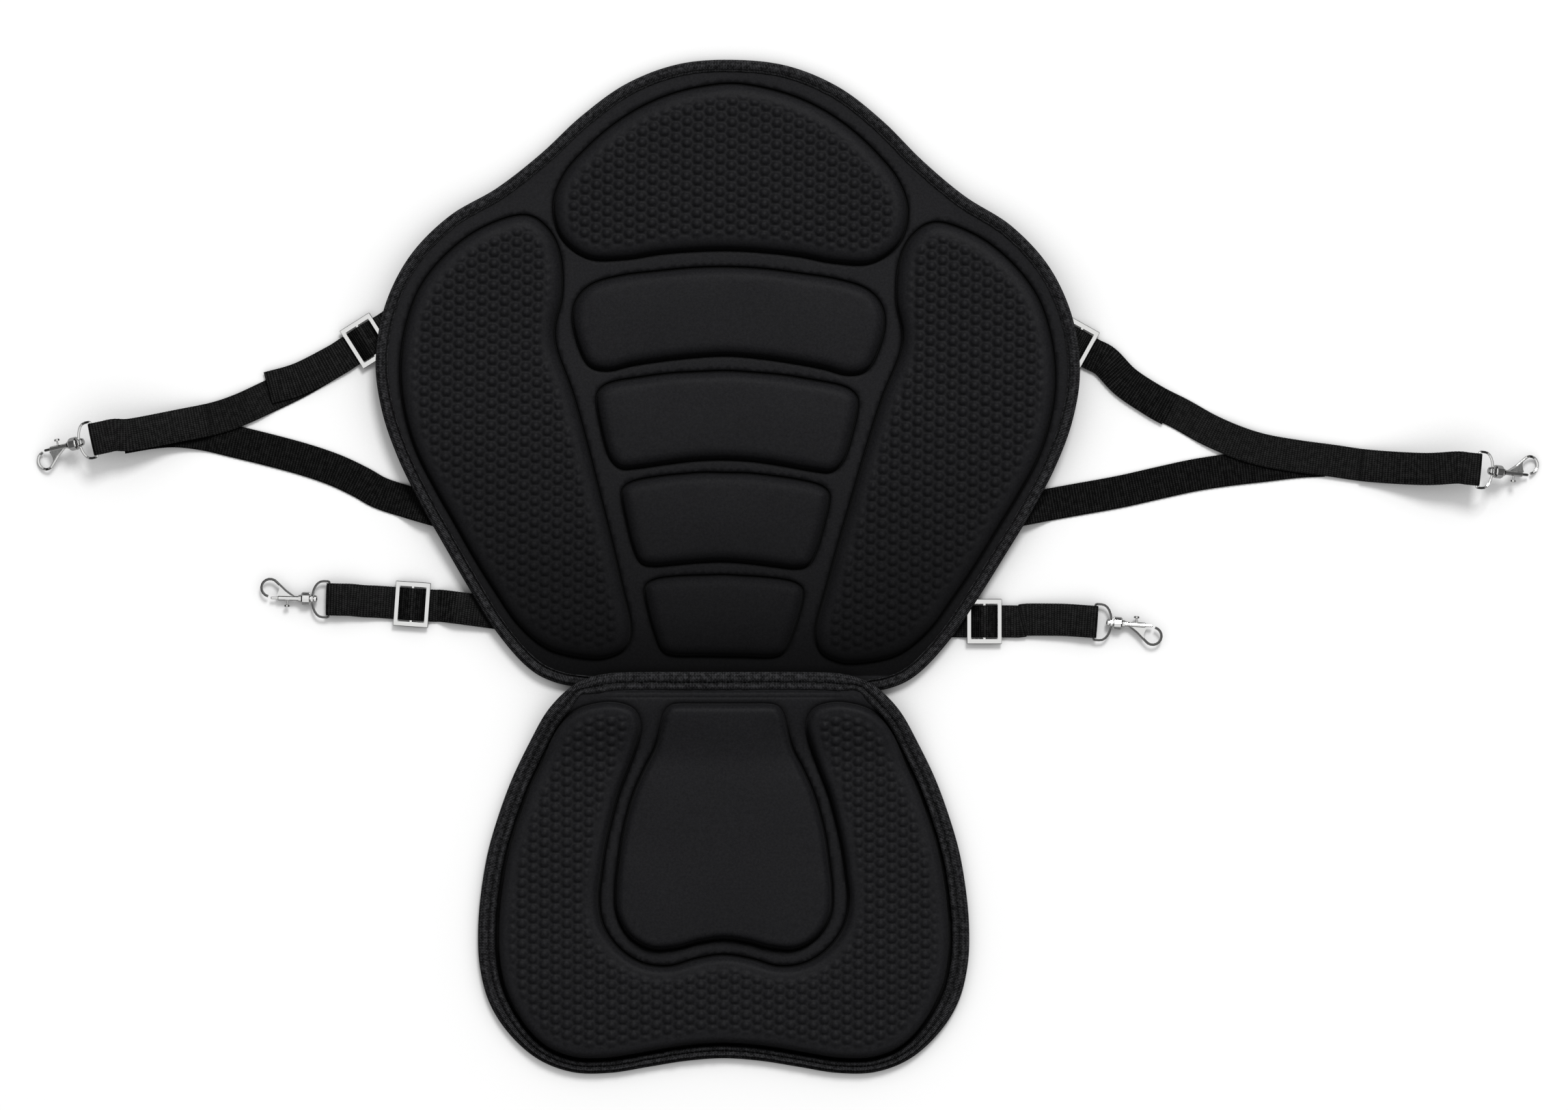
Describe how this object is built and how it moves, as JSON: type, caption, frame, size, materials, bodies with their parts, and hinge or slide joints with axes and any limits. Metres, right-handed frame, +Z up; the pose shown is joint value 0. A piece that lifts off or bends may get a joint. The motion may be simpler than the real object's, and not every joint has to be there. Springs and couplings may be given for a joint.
{
  "type": "kayak seat",
  "caption": "Padded kayak seat lying open: moulded seat base, tall hinged backrest, Y straps and lower straps with metal sliders and swivel snap hooks.",
  "frame": {"origin": "middle of the flat underside of the seat base", "axes": "+X to the seat's right seen from above, +Y from the seat's front edge towards the top of the backrest laid flat, +Z up"},
  "size_m": [1.1354, 0.7658, 0.0263],
  "materials": {
    "knit": "matte black knit, moulded with small bumps",
    "backing": "matte black cloth",
    "tape": "ribbed black binding tape",
    "webbing": "woven black webbing",
    "nickel": "bright nickel plate",
    "spring_steel": "plain drawn wire"
  },
  "bodies": {
    "seat": {"seat_pad": "knit", "seat_backing": "backing", "seat_binding": "tape"},
    "backrest": {"backrest_pad": "knit", "backrest_backing": "backing", "backrest_binding": "tape", "left_upper_leg": "webbing", "left_slider_anchor": "webbing", "left_lower_leg": "webbing", "left_lower_strap": "webbing", "right_upper_leg": "webbing", "right_slider_anchor": "webbing", "right_lower_leg": "webbing", "right_lower_strap": "webbing", "left_upper_slider": "nickel", "right_upper_slider": "nickel", "left_lower_slider": "nickel", "right_lower_slider": "nickel"},
    "left_upper_eye": {"left_upper_swivel_eye": "nickel"},
    "left_upper_hook": {"left_upper_snap_hook": "nickel", "left_upper_plunger_spring": "spring_steel"},
    "left_upper_bolt": {"left_upper_plunger": "nickel"},
    "right_upper_eye": {"right_upper_swivel_eye": "nickel"},
    "right_upper_hook": {"right_upper_snap_hook": "nickel", "right_upper_plunger_spring": "spring_steel"},
    "right_upper_bolt": {"right_upper_plunger": "nickel"},
    "left_lower_eye": {"left_lower_swivel_eye": "nickel"},
    "left_lower_hook": {"left_lower_snap_hook": "nickel", "left_lower_plunger_spring": "spring_steel"},
    "left_lower_bolt": {"left_lower_plunger": "nickel"},
    "right_lower_eye": {"right_lower_swivel_eye": "nickel"},
    "right_lower_hook": {"right_lower_snap_hook": "nickel", "right_lower_plunger_spring": "spring_steel"},
    "right_lower_bolt": {"right_lower_plunger": "nickel"}
  },
  "joints": [
    {"name": "backrest_fold", "type": "hinge", "parent": "seat", "child": "backrest", "pos_m": [0, 0.1518, 0.0111], "axis": [1, 0, 0], "range_deg": [0, 100]},
    {"name": "left_upper_eye_tilt", "type": "hinge", "parent": "backrest", "child": "left_upper_eye", "pos_m": [-0.474, 0.3268, 0.02348], "axis": [0.2079, -0.9781, 0], "range_deg": [-95, 45]},
    {"name": "left_upper_swivel", "type": "hinge", "parent": "left_upper_eye", "child": "left_upper_hook", "pos_m": [-0.474, 0.3268, 0.02348], "axis": [-0.8865, -0.1884, -0.4226], "continuous": true},
    {"name": "left_upper_bolt_slide", "type": "slide", "parent": "left_upper_hook", "child": "left_upper_bolt", "axis": [0.8865, 0.1884, 0.4226], "range_m": [0, 0.006], "stiffness_N_per_m": 250, "springref_m": -0.004, "deforming": ["left_upper_plunger_spring"]},
    {"name": "right_upper_eye_tilt", "type": "hinge", "parent": "backrest", "child": "right_upper_eye", "pos_m": [0.568, 0.304, 0.02348], "axis": [0.0976, 0.9952, 0], "range_deg": [-95, 45]},
    {"name": "right_upper_swivel", "type": "hinge", "parent": "right_upper_eye", "child": "right_upper_hook", "pos_m": [0.568, 0.304, 0.02348], "axis": [0.902, -0.0884, -0.4226], "continuous": true},
    {"name": "right_upper_bolt_slide", "type": "slide", "parent": "right_upper_hook", "child": "right_upper_bolt", "axis": [-0.902, 0.0884, 0.4226], "range_m": [0, 0.006], "stiffness_N_per_m": 250, "springref_m": -0.004, "deforming": ["right_upper_plunger_spring"]},
    {"name": "left_lower_eye_tilt", "type": "hinge", "parent": "backrest", "child": "left_lower_eye", "pos_m": [-0.298, 0.2062, 0.00525], "axis": [-0.0262, -0.9997, 0], "range_deg": [-80, 80]},
    {"name": "left_lower_swivel", "type": "hinge", "parent": "left_lower_eye", "child": "left_lower_hook", "pos_m": [-0.298, 0.2062, 0.00525], "axis": [-0.9997, 0.0262, 0], "continuous": true},
    {"name": "left_lower_bolt_slide", "type": "slide", "parent": "left_lower_hook", "child": "left_lower_bolt", "axis": [0.9997, -0.0262, 0], "range_m": [0, 0.006], "stiffness_N_per_m": 250, "springref_m": -0.004, "deforming": ["left_lower_plunger_spring"]},
    {"name": "right_lower_eye_tilt", "type": "hinge", "parent": "backrest", "child": "right_lower_eye", "pos_m": [0.28, 0.1892, 0.00525], "axis": [0.0698, 0.9976, 0], "range_deg": [-80, 80]},
    {"name": "right_lower_swivel", "type": "hinge", "parent": "right_lower_eye", "child": "right_lower_hook", "pos_m": [0.28, 0.1892, 0.00525], "axis": [0.9976, -0.0698, 0], "continuous": true},
    {"name": "right_lower_bolt_slide", "type": "slide", "parent": "right_lower_hook", "child": "right_lower_bolt", "axis": [-0.9976, 0.0698, 0], "range_m": [0, 0.006], "stiffness_N_per_m": 250, "springref_m": -0.004, "deforming": ["right_lower_plunger_spring"]}
  ]
}
